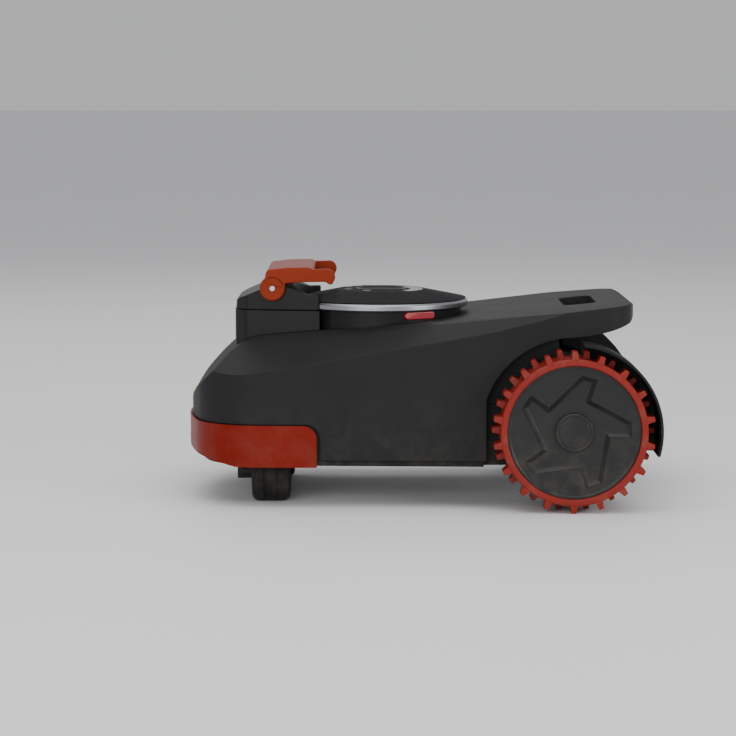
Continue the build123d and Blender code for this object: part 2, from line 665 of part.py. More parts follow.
def drive_motors():
    """Two gear motors inside the rear box."""
    motors = []
    for s in (1, -1):
        motor = tube_y(MOTOR_R, s * (BATTERY[1] / 2 + 18), s * (BOX_HALF - 6), WHEEL_X, WHEEL_Z)
        motors.append(motor - tube_y(AXLE_R + 0.3, s * (BOX_HALF - 20), s * BOX_HALF, WHEEL_X, WHEEL_Z))
    return motors


# ---- casters -------------------------------------------------------------------------------
def caster_wheel(side):
    """Wide front roller with rounded shoulders."""
    y = side * CASTER_WHEEL_Y
    wheel = tube_x(CASTER_R, CASTER_X - CASTER_W / 2, CASTER_X + CASTER_W / 2, y, CASTER_R)
    rims = [e for e in wheel.edges() if e.geom_type == GeomType.CIRCLE]
    wheel = fillet(rims, 7)
    return wheel - tube_x(CASTER_AXLE_R + RUN_GAP, 0, 400, y, CASTER_R)


def caster_bracket(side):
    """One-sided bracket: top plate on the stem, limb down, boss at the axle."""
    y = side * CASTER_WHEEL_Y
    x_in = CASTER_X + CASTER_W / 2 + 12
    plate_z = 2 * CASTER_R + 4
    ends = sorted((side * (CASTER_Y - 14), y + side * 10))
    plate = block(CASTER_X - 16, x_in + BRACKET_T, *ends, plate_z, plate_z + 4)
    limb = block(x_in, x_in + BRACKET_T, y - 10, y + 10, CASTER_R - 5, plate_z + 4)
    foot = tube_x(10, CASTER_X + CASTER_W / 2 + 1, x_in + BRACKET_T, y, CASTER_R)
    bracket = plate + limb + foot
    bracket = bracket - tube_x(CASTER_AXLE_R, 0, 400, y, CASTER_R)
    return bracket - tube(STEM_R, 0, 100, CASTER_X, side * CASTER_Y)


def caster_axle(side):
    """Steel axle pressed into the bracket."""
    y = side * CASTER_WHEEL_Y
    return tube_x(CASTER_AXLE_R, CASTER_X - CASTER_W / 2 + 4, CASTER_X + CASTER_W / 2 + 17, y, CASTER_R)


def caster_stem(side):
    """Vertical swivel stem in the tub's bush."""
    return tube(STEM_R, 2 * CASTER_R + 4, WELL_ROOF_Z + 22, CASTER_X, side * CASTER_Y)


def caster_bushes():
    """Two plain bushes for the caster stems."""
    bushes = []
    for s in (1, -1):
        bush = tube(STEM_R + BUSH_T, WELL_ROOF_Z + 0.5, WELL_ROOF_Z + 24, CASTER_X, s * CASTER_Y)
        bushes.append(bush - tube(STEM_R + RUN_GAP, 0, 400, CASTER_X, s * CASTER_Y))
    return bushes


# ---- cutting unit --------------------------------------------------------------------------
def cutter_carriage():
    """Barrel that rides up and down through the chamber roof, with nut and guide eyes."""
    bottom = DISC_Z + DISC_T + 3
    barrel = tube(BARREL_R, bottom, FLANGE_Z + 6, CUTTER_X)
    barrel = barrel - tube(BARREL_R - 3, bottom + 4, FLANGE_Z + 7, CUTTER_X)
    rounds = [(CUTTER_X, 0.0, BARREL_R + 4), (TURRET_X, 0.0, 13.0)] + [(x, y, 9.0) for x, y in POST_PLACES]
    circles = [at(x, y, 0) * Circle(radius) for x, y, radius in rounds]
    outline = make_hull([edge for circle in circles for edge in circle.edges()])
    flange = at(0, 0, FLANGE_Z) * extrude(outline, amount=6) - tube(BARREL_R - 1, 0, 300, CUTTER_X)
    carriage = barrel + flange - tube(5.0, 0, 100, CUTTER_X)
    carriage = carriage - tube(SCREW_R + RUN_GAP, 0, 300, TURRET_X)
    for x, y in POST_PLACES:
        carriage = carriage - tube(POST_R + RUN_GAP, 0, 300, x, y)
    return carriage


def blade_motor():
    """Cutting motor inside the barrel."""
    bottom = DISC_Z + DISC_T + 7
    return tube(BARREL_R - 3.2, bottom, FLANGE_Z + 4, CUTTER_X) - tube(4.3, 0, bottom + 20, CUTTER_X)


def motor_shaft():
    """Motor shaft down through the disc to the skid plate."""
    return tube(4.0, DISC_Z - 9, DISC_Z + DISC_T + 24, CUTTER_X)


def cutting_disc():
    """Steel disc that carries the three blades."""
    disc = tube(DISC_R, DISC_Z, DISC_Z + DISC_T, CUTTER_X) - tube(4.0, 0, 100, CUTTER_X)
    for x, y in blade_places():
        disc = disc - tube(2.0, 0, 100, x, y)
    return disc


def blade_places():
    """Pivot places of the three blades."""
    angles = [math.radians(a) for a in (60, 180, 300)]
    return [(CUTTER_X + BLADE_PIVOT_R * math.cos(a), BLADE_PIVOT_R * math.sin(a)) for a in angles]


def blade(index):
    """Pivoting cutting blade, pointing outwards."""
    x, y = blade_places()[index]
    outline = Pos((BLADE_LEN - 6) / 2, 0) * Rectangle(BLADE_LEN + 6, 16)
    plate = extrude(outline, amount=BLADE_T) - Cylinder(2.1, 10)
    return at(x, y, DISC_Z - 0.4 - BLADE_T) * Rot(0, 0, (60, 180, 300)[index]) * plate


def blade_screws():
    """Shouldered screws that hold the blades on the disc."""
    screws = []
    for x, y in blade_places():
        head = tube(4.0, DISC_Z - 3.4, DISC_Z - 0.8 - BLADE_T, x, y)
        screws.append(head + tube(2.0, DISC_Z - 3.4, DISC_Z + DISC_T, x, y))
    return screws


def skid_plate():
    """Free-turning dish under the blades that slides over the grass."""
    plate = tube(SKID_R, DISC_Z - 8, DISC_Z - 5.4, CUTTER_X) + tube(12, DISC_Z - 8, DISC_Z - 0.4, CUTTER_X)
    return plate - tube(4.0 + RUN_GAP, 0, 100, CUTTER_X)


def lift_guide_posts():
    """Two steel posts that guide the carriage."""
    return [tube(POST_R, CHAMBER_ROOF_Z + TUB_WALL, FLANGE_Z + 20, x, y) for x, y in POST_PLACES]


# ---- inside --------------------------------------------------------------------------------
def battery_pack():
    """Battery pack in the rear box."""
    length, width, height = BATTERY
    z0 = TUB_Z + TUB_WALL + 0.5
    return block(BATTERY_X - length / 2, BATTERY_X + length / 2, -width / 2, width / 2, z0, z0 + height)


def battery_door():
    """Door under the battery."""
    length, width, _ = BATTERY
    half_l = length / 2 + 3 - SEAM_GAP
    half_w = width / 2 + 3 - SEAM_GAP
    return block(BATTERY_X - half_l, BATTERY_X + half_l, -half_w, half_w, TUB_Z, TUB_Z + TUB_WALL)


def main_board():
    """Control board on its four posts above the battery."""
    length, width, _ = BATTERY
    half_l = length / 2 + 7
    half_w = width / 2 + 12
    return block(BATTERY_X - half_l, BATTERY_X + half_l, -half_w, half_w, BOARD_Z, BOARD_Z + 1.6)


def case_screws():
    """Screws up through the tub into the shell's posts."""
    screws = []
    for x, y in SCREW_POSTS:
        head = tube(SCREW_HEAD_R, TUB_Z + 0.1, TUB_Z + SCREW_HEAD_H, x, y)
        screws.append(head + tube(SCREW_SHANK_R, TUB_Z + 0.1, TUB_Z + TUB_WALL + 15, x, y))
    return screws


# ---- every node ----------------------------------------------------------------------------
PARTS = {
    "upper_shell": upper_shell(),
    "chassis_tub": chassis_tub(),
    "rear_housing": rear_housing(),
    "charging_contacts": charging_contacts(),
    "turret_neck": turret_neck(),
    "turret_ring": turret_ring(),
    "turret_cap": turret_cap(),
    "display_window": display_shape(0, 1.2),
    "antenna_board": antenna_board(),
    "height_knob": height_knob(),
    "lead_screw": lead_screw(),
    "pod_base": pod_base(),
    "pod_cover": pod_cover(),
    "camera_window": camera_window(),
    "camera_module": camera_module(),
    "yoke": yoke(),
    "yoke_pins": yoke_pins(),
    "front_bumper": front_bumper(),
    "axle_bearings": axle_bearings(),
    "drive_motors": drive_motors(),
    "caster_bushes": caster_bushes(),
    "cutter_carriage": cutter_carriage(),
    "blade_motor": blade_motor(),
    "motor_shaft": motor_shaft(),
    "cutting_disc": cutting_disc(),
    "blade_screws": blade_screws(),
    "skid_plate": skid_plate(),
    "lift_guide_posts": lift_guide_posts(),
    "battery_pack": battery_pack(),
    "battery_door": battery_door(),
    "main_board": main_board(),
    "case_screws": case_screws(),
}
for side, name in ((1, "left"), (-1, "right")):
    PARTS[f"mudguard_{name}"] = mudguard(side)
    PARTS[f"tyre_{name}"] = tyre(side)
    PARTS[f"wheel_hub_{name}"] = wheel_hub(side)
    PARTS[f"hub_cap_{name}"] = hub_cap(side)
    PARTS[f"wheel_axle_{name}"] = wheel_axle(side)
    PARTS[f"stop_pad_{name}"] = stop_pad(side)
    PARTS[f"caster_wheel_{name}"] = caster_wheel(side)
    PARTS[f"caster_bracket_{name}"] = caster_bracket(side)
    PARTS[f"caster_axle_{name}"] = caster_axle(side)
    PARTS[f"caster_stem_{name}"] = caster_stem(side)
for i in range(4):
    PARTS[f"control_button_{i + 1}"] = control_button(i)
for i in range(3):
    PARTS[f"blade_{i + 1}"] = blade(i)

os.makedirs("parts", exist_ok=True)
for node, shape in PARTS.items():
    solids = shape if isinstance(shape, list) else shape.solids()
    solids = [s for item in solids for s in item.solids()]
    export_step(Compound(children=solids) if len(solids) > 1 else solids[0], f"parts/{node}.step")
print(len(PARTS), "nodes")
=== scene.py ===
import json
import math

import bpy
from mathutils import Matrix, Vector


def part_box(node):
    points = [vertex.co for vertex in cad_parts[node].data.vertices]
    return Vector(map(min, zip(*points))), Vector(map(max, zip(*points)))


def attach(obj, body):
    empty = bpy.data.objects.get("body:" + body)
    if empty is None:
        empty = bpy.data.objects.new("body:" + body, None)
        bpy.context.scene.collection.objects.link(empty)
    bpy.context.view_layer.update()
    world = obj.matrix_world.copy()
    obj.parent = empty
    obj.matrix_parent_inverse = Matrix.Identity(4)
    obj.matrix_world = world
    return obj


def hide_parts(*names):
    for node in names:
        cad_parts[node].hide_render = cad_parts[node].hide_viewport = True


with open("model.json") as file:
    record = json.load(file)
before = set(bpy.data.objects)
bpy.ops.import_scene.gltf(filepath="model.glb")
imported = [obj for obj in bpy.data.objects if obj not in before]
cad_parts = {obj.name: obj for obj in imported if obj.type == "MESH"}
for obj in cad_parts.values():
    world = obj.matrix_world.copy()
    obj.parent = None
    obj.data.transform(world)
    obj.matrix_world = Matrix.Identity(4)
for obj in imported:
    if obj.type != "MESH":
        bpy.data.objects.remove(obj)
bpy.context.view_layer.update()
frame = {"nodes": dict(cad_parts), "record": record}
NODES = frame["nodes"]
MM = 0.001


# ---- camera, floor and light ---------------------------------------------------------------
LENS_MM = 123.3
SENSOR_MM = 36.0
SIGHT = 50.0
CAMERA_PLACE = (0.0605, 3.0, 0.480)
CAMERA_DIP = 6.38
# each softbox: place, aim, width, height, power
SOFTBOXES = {
    "overhead": ((0.1, 0.5, 2.6), (0, 0, 0.1), 3.2, 2.6, 48),
    "side_fill": ((1.1, 3.4, 1.1), (0, 0, 0.15), 2.4, 1.2, 52),
    "rear_fill": ((-2.6, 1.8, 0.8), (-0.1, 0, 0.15), 1.4, 1.0, 40),
    "back_rim": ((0.6, -2.6, 2.2), (0, 0, 0.2), 2.4, 1.0, 16),
}
SKY = (0.93, 0.94, 0.96, 1)
SKY_STRENGTH = 0.55


def set_camera():
    """Long lens on the mower's left, a little above its top, dipped towards the ground."""
    data = bpy.data.cameras.new("view")
    data.lens = LENS_MM
    data.sensor_width = SENSOR_MM
    data.clip_end = SIGHT
    camera = bpy.data.objects.new("view", data)
    camera.location = CAMERA_PLACE
    camera.rotation_euler = (math.radians(90 - CAMERA_DIP), 0, math.radians(180))
    bpy.context.scene.collection.objects.link(camera)
    bpy.context.scene.camera = camera


def softbox(name, place, aim, width, height, power):
    """Rectangular studio light that points at a place."""
    data = bpy.data.lights.new(name, "AREA")
    data.shape = "RECTANGLE"
    data.size = width
    data.size_y = height
    data.energy = power
    light = bpy.data.objects.new(name, data)
    light.location = place
    light.rotation_euler = (Vector(aim) - Vector(place)).to_track_quat("-Z", "Y").to_euler()
    bpy.context.scene.collection.objects.link(light)


def set_lights():
    """A large overhead box, two fills, a back rim and an even sky."""
    for name, values in SOFTBOXES.items():
        softbox(name, *values)
    world = bpy.data.worlds.new("studio")
    world.use_nodes = True
    world.node_tree.nodes["Background"].inputs["Color"].default_value = SKY
    world.node_tree.nodes["Background"].inputs["Strength"].default_value = SKY_STRENGTH
    bpy.context.scene.world = world


# ---- materials -----------------------------------------------------------------------------
class Value:
    """A number socket whose operators add Math nodes."""

    def __init__(self, finish, socket):
        self.finish = finish
        self.socket = socket

    def __add__(self, other):
        return self.finish.maths("ADD", self, other)

    def __radd__(self, other):
        return self.finish.maths("ADD", other, self)

    def __sub__(self, other):
        return self.finish.maths("SUBTRACT", self, other)

    def __rsub__(self, other):
        return self.finish.maths("SUBTRACT", other, self)

    def __mul__(self, other):
        return self.finish.maths("MULTIPLY", self, other)

    def __rmul__(self, other):
        return self.finish.maths("MULTIPLY", other, self)


class Finish:
    """One procedural material on a principled shader."""

    def __init__(self, name, **fixed):
        self.data = bpy.data.materials.new(name)
        self.data.use_nodes = True
        self.tree = self.data.node_tree
        self.tree.nodes.clear()
        self.shader = self.tree.nodes.new("ShaderNodeBsdfPrincipled")
        output = self.tree.nodes.new("ShaderNodeOutputMaterial")
        self.tree.links.new(self.shader.outputs[0], output.inputs[0])
        self.place = self.tree.nodes.new("ShaderNodeTexCoord").outputs["Object"]
        for socket, value in fixed.items():
            self.shader.inputs[socket.replace("_", " ")].default_value = value

    def node(self, kind, settings, inputs, output=0):
        """Any node: its settings first, then the values or links of its sockets."""
        node = self.tree.nodes.new("ShaderNode" + kind)
        for key, value in settings.items():
            setattr(node, key, value)
        for key, value in inputs.items():
            self.feed(node.inputs[key], value)
        return node.outputs[output]

    def feed(self, socket, value):
        """Link a socket or set its number."""
        if isinstance(value, Value):
            value = value.socket
        if isinstance(value, bpy.types.NodeSocket):
            self.tree.links.new(value, socket)
        else:
            socket.default_value = value

    def maths(self, operation, a, b):
        """Math node on two numbers."""
        return Value(self, self.node("Math", {"operation": operation}, {0: a, 1: b}))

    def noise(self, scale, detail=3.0, rough=0.5, stretch=(1, 1, 1)):
        """Noise from 0 to 1 on object coordinates, in features per metre."""
        where = self.node("Mapping", {}, {"Vector": self.place, "Scale": stretch})
        inputs = {"Vector": where, "Scale": scale, "Detail": detail, "Roughness": rough}
        return Value(self, self.node("TexNoise", {}, inputs))

    def height(self):
        """Height above the ground, in metres."""
        return Value(self, self.node("SeparateXYZ", {}, {0: self.place}, 2))

    def ramp(self, value, low, high):
        """0 below low, 1 above high, smooth between."""
        inputs = {"Value": value, "From Min": low, "From Max": high}
        return Value(self, self.node("MapRange", {"interpolation_type": "SMOOTHSTEP"}, inputs))

    def blend(self, factor, a, b):
        """Mix of two colours."""
        inputs = {0: factor, 6: a, 7: b}
        return self.node("Mix", {"data_type": "RGBA"}, inputs, 2)

    def set(self, socket, value):
        """Feed one of the shader's own sockets."""
        self.feed(self.shader.inputs[socket], value)

    def bump(self, value, distance, strength=1.0):
        """Bump from a height between 0 and 1, distance in metres."""
        inputs = {"Height": value, "Distance": distance, "Strength": strength}
        self.set("Normal", self.node("Bump", {}, inputs))


def shade(color, factor):
    """A colour made lighter or darker."""
    return (color[0] * factor, color[1] * factor, color[2] * factor, 1.0)


DUST = (0.20, 0.17, 0.12, 1.0)


def moulded(name, color, rough, grain, grain_depth, dust=0.25, shine=0.16):
    """Injection-moulded plastic: fine spark grain, faint mottling, dust near the ground."""
    finish = Finish(name, Specular_IOR_Level=shine)
    mottle = finish.noise(14.0, 4.0, 0.6)
    fine = finish.noise(grain, 2.0, 0.6)
    base = finish.blend(mottle, shade(color, 0.86), shade(color, 1.16))
    soil = 1 - finish.ramp(finish.height(), 0.01, 0.16)
    patch = finish.ramp(finish.noise(38.0, 6.0, 0.7), 0.38, 0.72)
    finish.set("Base Color", finish.blend(soil * patch * dust, base, DUST))
    finish.set("Roughness", mottle * 0.10 + (rough - 0.05) + soil * patch * 0.15)
    finish.bump(fine, grain_depth, 0.6)
    return finish.data


def rubber(name, color, rough):
    """Moulded tyre rubber: soft grain, scuffs on the tread and soil between the lugs."""
    finish = Finish(name, Specular_IOR_Level=0.30)
    mottle = finish.noise(22.0, 5.0, 0.6)
    scuff = finish.ramp(finish.noise(160.0, 6.0, 0.75), 0.56, 0.74)
    soil = finish.ramp(finish.noise(45.0, 5.0, 0.65), 0.50, 0.80)
    base = finish.blend(mottle, shade(color, 0.82), shade(color, 1.12))
    worn = finish.blend(scuff * 0.25, base, shade(color, 1.7))
    finish.set("Base Color", finish.blend(soil * 0.22, worn, DUST))
    finish.set("Roughness", mottle * 0.12 + rough + scuff * 0.08)
    finish.bump(finish.noise(1100.0, 2.0), 0.00008, 0.5)
    return finish.data


def lacquer(name, color, rough, specks=0.35, **fixed):
    """Polished dark plastic with hairline scratches and a few dust specks."""
    finish = Finish(name, **fixed)
    scratch = finish.ramp(finish.noise(420.0, 5.0, 0.7, (1, 0.12, 1)), 0.58, 0.70)
    speck = finish.ramp(finish.noise(900.0, 2.0, 0.5), 0.72, 0.78)
    cloud = finish.noise(9.0, 3.0, 0.5)
    base = finish.blend(cloud, shade(color, 0.9), shade(color, 1.1))
    finish.set("Base Color", finish.blend(speck * specks, base, DUST))
    finish.set("Roughness", cloud * 0.05 + rough + scratch * 0.10 + speck * 0.2)
    finish.bump(scratch, 0.00001, 0.2)
    return finish.data


def brushed(name, color, rough, stretch, scale=500.0):
    """Metal brushed in one direction, with faint smudges."""
    finish = Finish(name, Metallic=1.0)
    lines = finish.noise(scale, 5.0, 0.7, stretch)
    smudge = finish.noise(24.0, 4.0, 0.6)
    finish.set("Base Color", finish.blend(lines, shade(color, 0.80), shade(color, 1.10)))
    finish.set("Roughness", lines * 0.14 + smudge * 0.12 + rough)
    finish.bump(lines, 0.00002, 0.35)
    return finish.data


RINGS_PER_METRE = 2600.0


def turned(name, color, rough, centre):
    """Metal turned on a lathe: fine rings about a vertical axis."""
    finish = Finish(name, Metallic=1.0)
    away = finish.node("VectorMath", {"operation": "SUBTRACT"}, {0: finish.place, 1: centre})
    flat = finish.node("VectorMath", {"operation": "MULTIPLY"}, {0: away, 1: (1, 1, 0)})
    radius = Value(finish, finish.node("VectorMath", {"operation": "LENGTH"}, {0: flat}, "Value"))
    lines = finish.maths("SINE", radius * RINGS_PER_METRE, 0) * 0.5 + 0.5
    smudge = finish.noise(30.0, 4.0, 0.6)
    finish.set("Base Color", finish.blend(smudge, shade(color, 0.86), shade(color, 1.06)))
    finish.set("Roughness", lines * 0.06 + smudge * 0.12 + rough)
    finish.bump(lines, 0.00001, 0.3)
    return finish.data


def board(name, color):
    """Circuit board: solder mask with copper tracks showing through."""
    finish = Finish(name, IOR=1.5)
    inputs = {"Vector": finish.place, "Scale": 260.0, "Mortar Size": 0.03,
              "Color1": shade(color, 1), "Color2": shade(color, 0.8), "Mortar": shade(color, 2.2)}
    finish.set("Base Color", finish.node("TexBrick", {"offset": 0.35}, inputs))
    finish.set("Roughness", finish.noise(60.0) * 0.2 + 0.3)
    return finish.data


def middle(node):
    """Centre of a CAD node's box."""
    low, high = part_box(node)
    return (low + high) / 2


# The outer parts' base colours below are set darker than the parts' own colours: painted shade standing in
# for the canopy's shade over the whole mower.
FINISHES = {
    "charcoal": moulded("charcoal", (0.0195, 0.0196, 0.0201), 0.48, 1500.0, 0.00006, 0.10, 0.06),
    "chassis_black": moulded("chassis_black", (0.0085, 0.0085, 0.0090), 0.52, 1200.0, 0.00008, 0.20),
    "pod_black": moulded("pod_black", (0.0115, 0.0117, 0.0125), 0.36, 1700.0, 0.00005, 0.05),
    "gloss_black": lacquer("gloss_black", (0.0050, 0.0050, 0.0058), 0.34, 0.04, Specular_IOR_Level=0.008),
    "knob_black": moulded("knob_black", (0.0100, 0.0100, 0.0108), 0.34, 2000.0, 0.00004, 0.0),
    "ring_metal": turned("ring_metal", (0.34, 0.345, 0.36), 0.26, middle("turret_ring")),
    "display_glass": lacquer("display_glass", (0.0030, 0.0034, 0.0050), 0.08, 0.05, Coat_Weight=0.5),
    "orange_bumper": moulded("orange_bumper", (0.165, 0.0062, 0.0012), 0.36, 1500.0, 0.00005, 0.12, 0.12),
    "orange_tyre": rubber("orange_tyre", (0.205, 0.0085, 0.0034), 0.46),
    "orange_yoke": moulded("orange_yoke", (0.200, 0.0180, 0.0018), 0.34, 1800.0, 0.00004, 0.0, 0.14),
    "hub_black": moulded("hub_black", (0.0095, 0.0097, 0.0095), 0.30, 1400.0, 0.00005, 0.12, 0.34),
    "caster_rubber": moulded("caster_rubber", (0.0060, 0.0060, 0.0063), 0.50, 1000.0, 0.00008, 0.12),
    "bracket_black": moulded("bracket_black", (0.0100, 0.0100, 0.0108), 0.38, 2200.0, 0.00005, 0.2),
    "stop_red": lacquer("stop_red", (0.36, 0.012, 0.022), 0.14, 0.05, Coat_Weight=0.6),
    "button_grey": moulded("button_grey", (0.070, 0.072, 0.075), 0.40, 1800.0, 0.00004, 0.0),
    "steel": brushed("steel", (0.50, 0.51, 0.53), 0.24, (1, 1, 0.08)),
    "motor_metal": brushed("motor_metal", (0.42, 0.43, 0.45), 0.34, (1, 1, 1), 300.0),
    "contact_brass": brushed("contact_brass", (0.72, 0.50, 0.20), 0.20, (0.1, 1, 1)),
    "bush_white": moulded("bush_white", (0.60, 0.59, 0.56), 0.45, 1500.0, 0.00004, 0.0),
    "board_green": board("board_green", (0.010, 0.065, 0.024)),
    "battery_grey": moulded("battery_grey", (0.045, 0.045, 0.05), 0.40, 900.0, 0.00006, 0.0),
}
SLOTS = {part["node"]: part["material_slot"] for part in frame["record"]["subparts"]}
BODIES = {node: body for body, group in frame["record"]["behaviour"]["bodies"].items() for node in group}


FLOOR_SIZE = 240


def set_floor():
    """Wide pale floor under the wheels."""
    bpy.ops.object.select_all(action="DESELECT")
    bpy.ops.mesh.primitive_plane_add(size=FLOOR_SIZE, location=(0, 0, 0))
    floor = bpy.context.object
    floor.name = "floor"
    pale = Finish("pale_floor", Roughness=0.55)
    pale.set("Base Color", pale.blend(pale.noise(3.0), (0.80, 0.80, 0.81, 1), (0.84, 0.84, 0.85, 1)))
    floor.data.materials.append(pale.data)


# ---- modelling helpers ---------------------------------------------------------------------
SMOOTH_DEGREES = 38
FLAT_DEGREES = 0.4
DRAWN_GAP = 0.000005
COPIED_GAP = 0.000004


def select_only(*pieces):
    """Object mode, with only these pieces selected and the first one active."""
    if bpy.context.object and bpy.context.object.mode != "OBJECT":
        bpy.ops.object.mode_set(mode="OBJECT")
    bpy.ops.object.select_all(action="DESELECT")
    for piece in pieces:
        piece.select_set(True)
    bpy.context.view_layer.objects.active = pieces[0]


def edit(piece):
    """Edit mode on one piece, with everything selected."""
    select_only(piece)
    bpy.ops.object.mode_set(mode="EDIT")
    bpy.ops.mesh.select_mode(type="VERT")
    bpy.ops.mesh.select_all(action="SELECT")


def pick_faces(piece, test):
    """Edit mode on one piece, with only the faces that pass a test selected."""
    edit(piece)
    bpy.ops.mesh.select_mode(type="FACE")
    bpy.ops.mesh.select_all(action="DESELECT")
    bpy.ops.object.mode_set(mode="OBJECT")
    for face in piece.data.polygons:
        face.select = bool(test(face))
    bpy.ops.object.mode_set(mode="EDIT")


def outwards(piece):
    """Merge doubles and turn every face outwards."""
    edit(piece)
    bpy.ops.mesh.remove_doubles(threshold=DRAWN_GAP)
    bpy.ops.mesh.normals_make_consistent(inside=False)
    bpy.ops.object.mode_set(mode="OBJECT")


def softened(piece, width, segments=3, angle=32, clamp=True):
    """Round the sharp edges and shade the rest smooth."""
    select_only(piece)
    bevel = piece.modifiers.new("soft_edges", "BEVEL")
    bevel.width = width
    bevel.segments = segments
    bevel.limit_method = "ANGLE"
    bevel.angle_limit = math.radians(angle)
    bevel.use_clamp_overlap = clamp
    bpy.ops.object.modifier_apply(modifier=bevel.name)
    bpy.ops.object.shade_smooth_by_angle(angle=math.radians(SMOOTH_DEGREES))
    weighted = piece.modifiers.new("even_shading", "WEIGHTED_NORMAL")
    weighted.keep_sharp = True
    bpy.ops.object.modifier_apply(modifier=weighted.name)
    return piece


def drawn(name, points):
    """Chain of edges through points, drawn by extruding one vertex."""
    bpy.ops.object.select_all(action="DESELECT")
    bpy.ops.mesh.primitive_plane_add(size=MM, location=(0, 0, 0))
    piece = bpy.context.object
    piece.name = name
    edit(piece)
    bpy.ops.mesh.merge(type="CENTER")
    here = Vector((0, 0, 0))
    for index, point in enumerate(points):
        step = Vector(point) - here
        here = Vector(point)
        if index:
            bpy.ops.mesh.extrude_region_move(TRANSFORM_OT_translate={"value": step})
        else:
            bpy.ops.transform.translate(value=step)
    bpy.ops.object.mode_set(mode="OBJECT")
    return piece


AXES = {"x": (Vector((1, 0, 0)), Vector((0, 0, 1))), "y": (Vector((0, 1, 0)), Vector((1, 0, 0))),
        "z": (Vector((0, 0, 1)), Vector((1, 0, 0)))}


def lathed(name, profile, axis, centre, steps=96):
    """Solid of revolution: (radius, distance along the axis) points spun about an axis."""
    along, out = AXES[axis]
    points = [Vector(centre) + out * radius + along * far for radius, far in profile]
    piece = drawn(name, points)
    edit(piece)
    bpy.ops.mesh.spin(steps=steps, angle=2 * math.pi, center=centre, axis=along)
    bpy.ops.object.mode_set(mode="OBJECT")
    outwards(piece)
    return piece


def plate(name, points, y0, y1):
    """Flat outline in X and Z, filled and extruded from y0 to y1."""
    piece = drawn(name, [(x, y0, z) for x, z in points])
    edit(piece)
    bpy.ops.mesh.edge_face_add()
    bpy.ops.mesh.extrude_region_move(TRANSFORM_OT_translate={"value": (0, y1 - y0, 0)})
    bpy.ops.object.mode_set(mode="OBJECT")
    outwards(piece)
    return piece


def joined(name, pieces):
    """Several pieces as one."""
    select_only(*pieces)
    if len(pieces) > 1:
        bpy.ops.object.join()
    piece = bpy.context.object
    piece.name = name
    return piece


def cut(piece, tool):
    """Take a tool's shape out of a piece."""
    select_only(piece)
    boolean = piece.modifiers.new("cut", "BOOLEAN")
    boolean.operation = "DIFFERENCE"
    boolean.solver = "EXACT"
    boolean.object = tool
    bpy.ops.object.modifier_apply(modifier=boolean.name)
    bpy.data.objects.remove(tool)
    return piece


def stands_for(piece, node):
    """Give a finished piece its body, its CAD node, its slot and its material."""
    piece.name = node + "_finished"
    piece.data.materials.clear()
    piece.data.materials.append(FINISHES[SLOTS[node]])
    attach(piece, BODIES[node])
    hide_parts(node)
    return piece


def refined(node, width, clamp=False):
    """A merged copy of a CAD node with its edges rounded."""
    return stands_for(softened(merged_copy(node), width, 3, 32, clamp), node)


# ---- drive wheels --------------------------------------------------------------------------
LUG_HEIGHT = 8.4 * MM
LUG_ROOT = 9.0 * MM
LUG_SINK = 1.2 * MM
LUG_TIP_SHARE = 0.62
LUGS = 18
SIDES = {"left": 1, "right": -1}


def lug(length):
    """One tapered tread lug standing on the X-Y plane, rounded at its edges."""
    height = LUG_HEIGHT + LUG_SINK
    size = (LUG_ROOT, length, height)
    bpy.ops.object.select_all(action="DESELECT")
    bpy.ops.mesh.primitive_cube_add(size=1, location=(0, 0, height / 2), scale=size)
    piece = bpy.context.object
    bpy.ops.object.transform_apply(location=True, rotation=True, scale=True)
    pick_faces(piece, lambda face: face.normal.z > 0.9)
    bpy.ops.transform.resize(value=(LUG_TIP_SHARE, 0.90, 1))
    bpy.ops.object.mode_set(mode="OBJECT")
    return softened(piece, 0.9 * MM, 3, 20)


def tyre(name):
    """Orange tread ring with two staggered rows of lugs and a smooth side wall."""
    node = f"tyre_{name}"
    low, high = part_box(node)
    hub_low, hub_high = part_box(f"wheel_hub_{name}")
    centre = middle(node)
    radius = (high.z - low.z) / 2
    root = radius - LUG_HEIGHT
    rim = (hub_high.z - hub_low.z) / 2
    half = (high.y - low.y) / 2
    shoulder = 1.6 * MM
    section = [(rim, -half + 1.2 * MM), (rim + 1.4 * MM, -half), (root - shoulder, -half),
               (root, -half + shoulder), (root, -0.8 * MM), (root - 1.0 * MM, 0), (root, 0.8 * MM),
               (root, half - shoulder), (root - shoulder, half), (rim + 1.4 * MM, half),
               (rim, half - 1.2 * MM), (rim, -half + 1.2 * MM)]
    band = softened(lathed("band", section, "y", centre, 144), 0.4 * MM, 2)
    pattern = lug(half - 0.6 * MM)
    pieces = [band]
    for row in (-1, 1):
        for index in range(LUGS):
            stagger = 0.5 if row * SIDES[name] < 0 else 0
            turn = 2 * math.pi * (index + stagger) / LUGS
            copy = bpy.data.objects.new("lug", pattern.data.copy())
            bpy.context.scene.collection.objects.link(copy)
            stand = Matrix.Translation((0, row * half / 2, root - LUG_SINK))
            copy.data.transform(Matrix.Translation(centre) @ Matrix.Rotation(turn, 4, "Y") @ stand)
            pieces.append(copy)
    bpy.data.objects.remove(pattern)
    return stands_for(joined(node, pieces), node)


TEETH = 5
TOOTH_OUT = 64.7 * MM
TOOTH_IN = 40.3 * MM
TOOTH_START = 25.6
TOOTH_RISE = 54.0
TOOTH_LAND = 15.0
WALL_RUN = 4.6 * MM
POCKET = 4.0 * MM
CUTTER_PROUD = 4 * MM


def star_points(centre, y):
    """The hub pocket's saw-blade outline at one depth."""
    points = []
    for index in range(TEETH):
        start = TOOTH_START - 360 / TEETH * index
        tooth = ((TOOTH_OUT, start + TOOTH_LAND), (TOOTH_OUT, start), (TOOTH_IN, start - TOOTH_RISE))
        for radius, angle in tooth:
            turn = math.radians(angle)
            points.append((centre.x + radius * math.cos(turn), y, centre.z + radius * math.sin(turn)))
    return points


